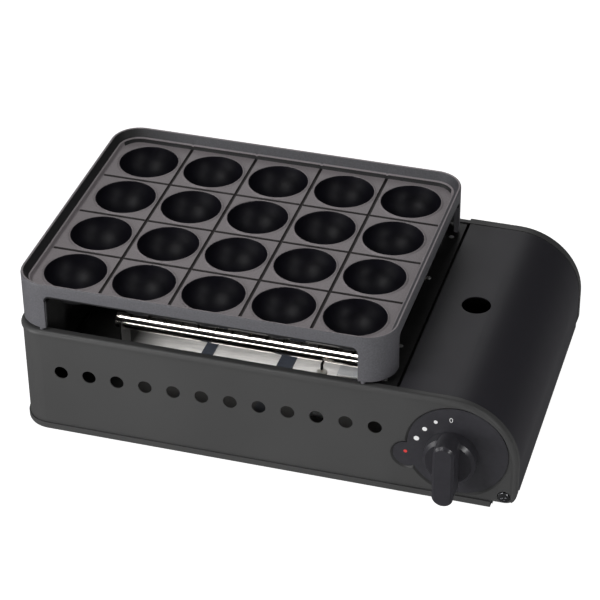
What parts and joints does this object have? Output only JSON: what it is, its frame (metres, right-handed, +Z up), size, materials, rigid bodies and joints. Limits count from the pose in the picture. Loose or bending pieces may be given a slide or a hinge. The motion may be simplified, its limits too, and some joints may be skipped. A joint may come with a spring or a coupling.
{
  "type": "takoyaki maker",
  "caption": "Tabletop gas cooker whose cast plate of round cups stands over a burner bay, with a side canister bay under a hinged cover and a front control knob.",
  "frame": {"origin": "On the table, under the middle of the whole cooker with its knob.", "axes": "X to the right seen from the knob side, Y to the back, Z up."},
  "size_m": [0.343, 0.2352, 0.1208],
  "materials": {
    "cast_plate": "die-cast with a dark non-stick coat",
    "body_paint": "satin dark grey powder coat",
    "zinc_sheet": "plain zinc-coated sheet",
    "screw_zinc": "zinc-plated",
    "feet_rubber": "moulded",
    "frame_enamel": "black heat-proof enamel",
    "burner_steel": "bright stainless wire",
    "tray_steel": "bright aluminised sheet",
    "strap_paint": "dark heat-proof paint",
    "white_ceramic": "unglazed alumina",
    "lead_silicone": "silicone sleeve",
    "die_cast": "raw die-casting",
    "magnet_nickel": "nickel-plated",
    "brass_fitting": "turned",
    "igniter_case": "moulded case",
    "heat_aluminium": "mill finish",
    "lid_paint": "satin dark grey powder coat",
    "pin_black": "black oxide",
    "dial_plastic": "fine satin charcoal",
    "knob_plastic": "satin charcoal"
  },
  "bodies": {
    "base": {"body_shell": "body_paint", "base_pan": "zinc_sheet", "base_screws": "screw_zinc", "rubber_feet": "feet_rubber", "top_frame": "frame_enamel", "partition_wall": "zinc_sheet", "burner": "burner_steel", "burner_brackets": "zinc_sheet", "heat_tray": "tray_steel", "tray_straps": "strap_paint", "electrode_ceramic": "white_ceramic", "electrode_bracket": "zinc_sheet", "electrode_wire": "burner_steel", "ignition_lead": "lead_silicone", "regulator": "die_cast", "regulator_screws": "screw_zinc", "canister_socket": "die_cast", "magnets": "magnet_nickel", "gas_pipe": "brass_fitting", "gas_nozzle": "brass_fitting", "piezo_igniter": "igniter_case", "canister_cradle": "zinc_sheet", "heat_panel": "heat_aluminium", "hinge_pins": "pin_black", "dial_plate": "dial_plastic"},
    "plate": {"cooking_plate": "cast_plate"},
    "lid": {"canister_lid": "lid_paint"},
    "knob": {"valve_shaft": "screw_zinc", "control_knob": "knob_plastic"}
  },
  "joints": [
    {"name": "plate_lift", "type": "slide", "parent": "base", "child": "plate", "axis": [0, 0, 1], "range_m": [0, 0.15]},
    {"name": "lid_hinge", "type": "hinge", "parent": "base", "child": "lid", "pos_m": [0.1628, 0.012, 0.0133], "axis": [0, 1, 0], "range_deg": [0, 95]},
    {"name": "knob_turn", "type": "hinge", "parent": "base", "child": "knob", "pos_m": [0.1274, -0.0912, 0.0405], "axis": [0, -1, 0], "range_deg": [0, 90]}
  ]
}
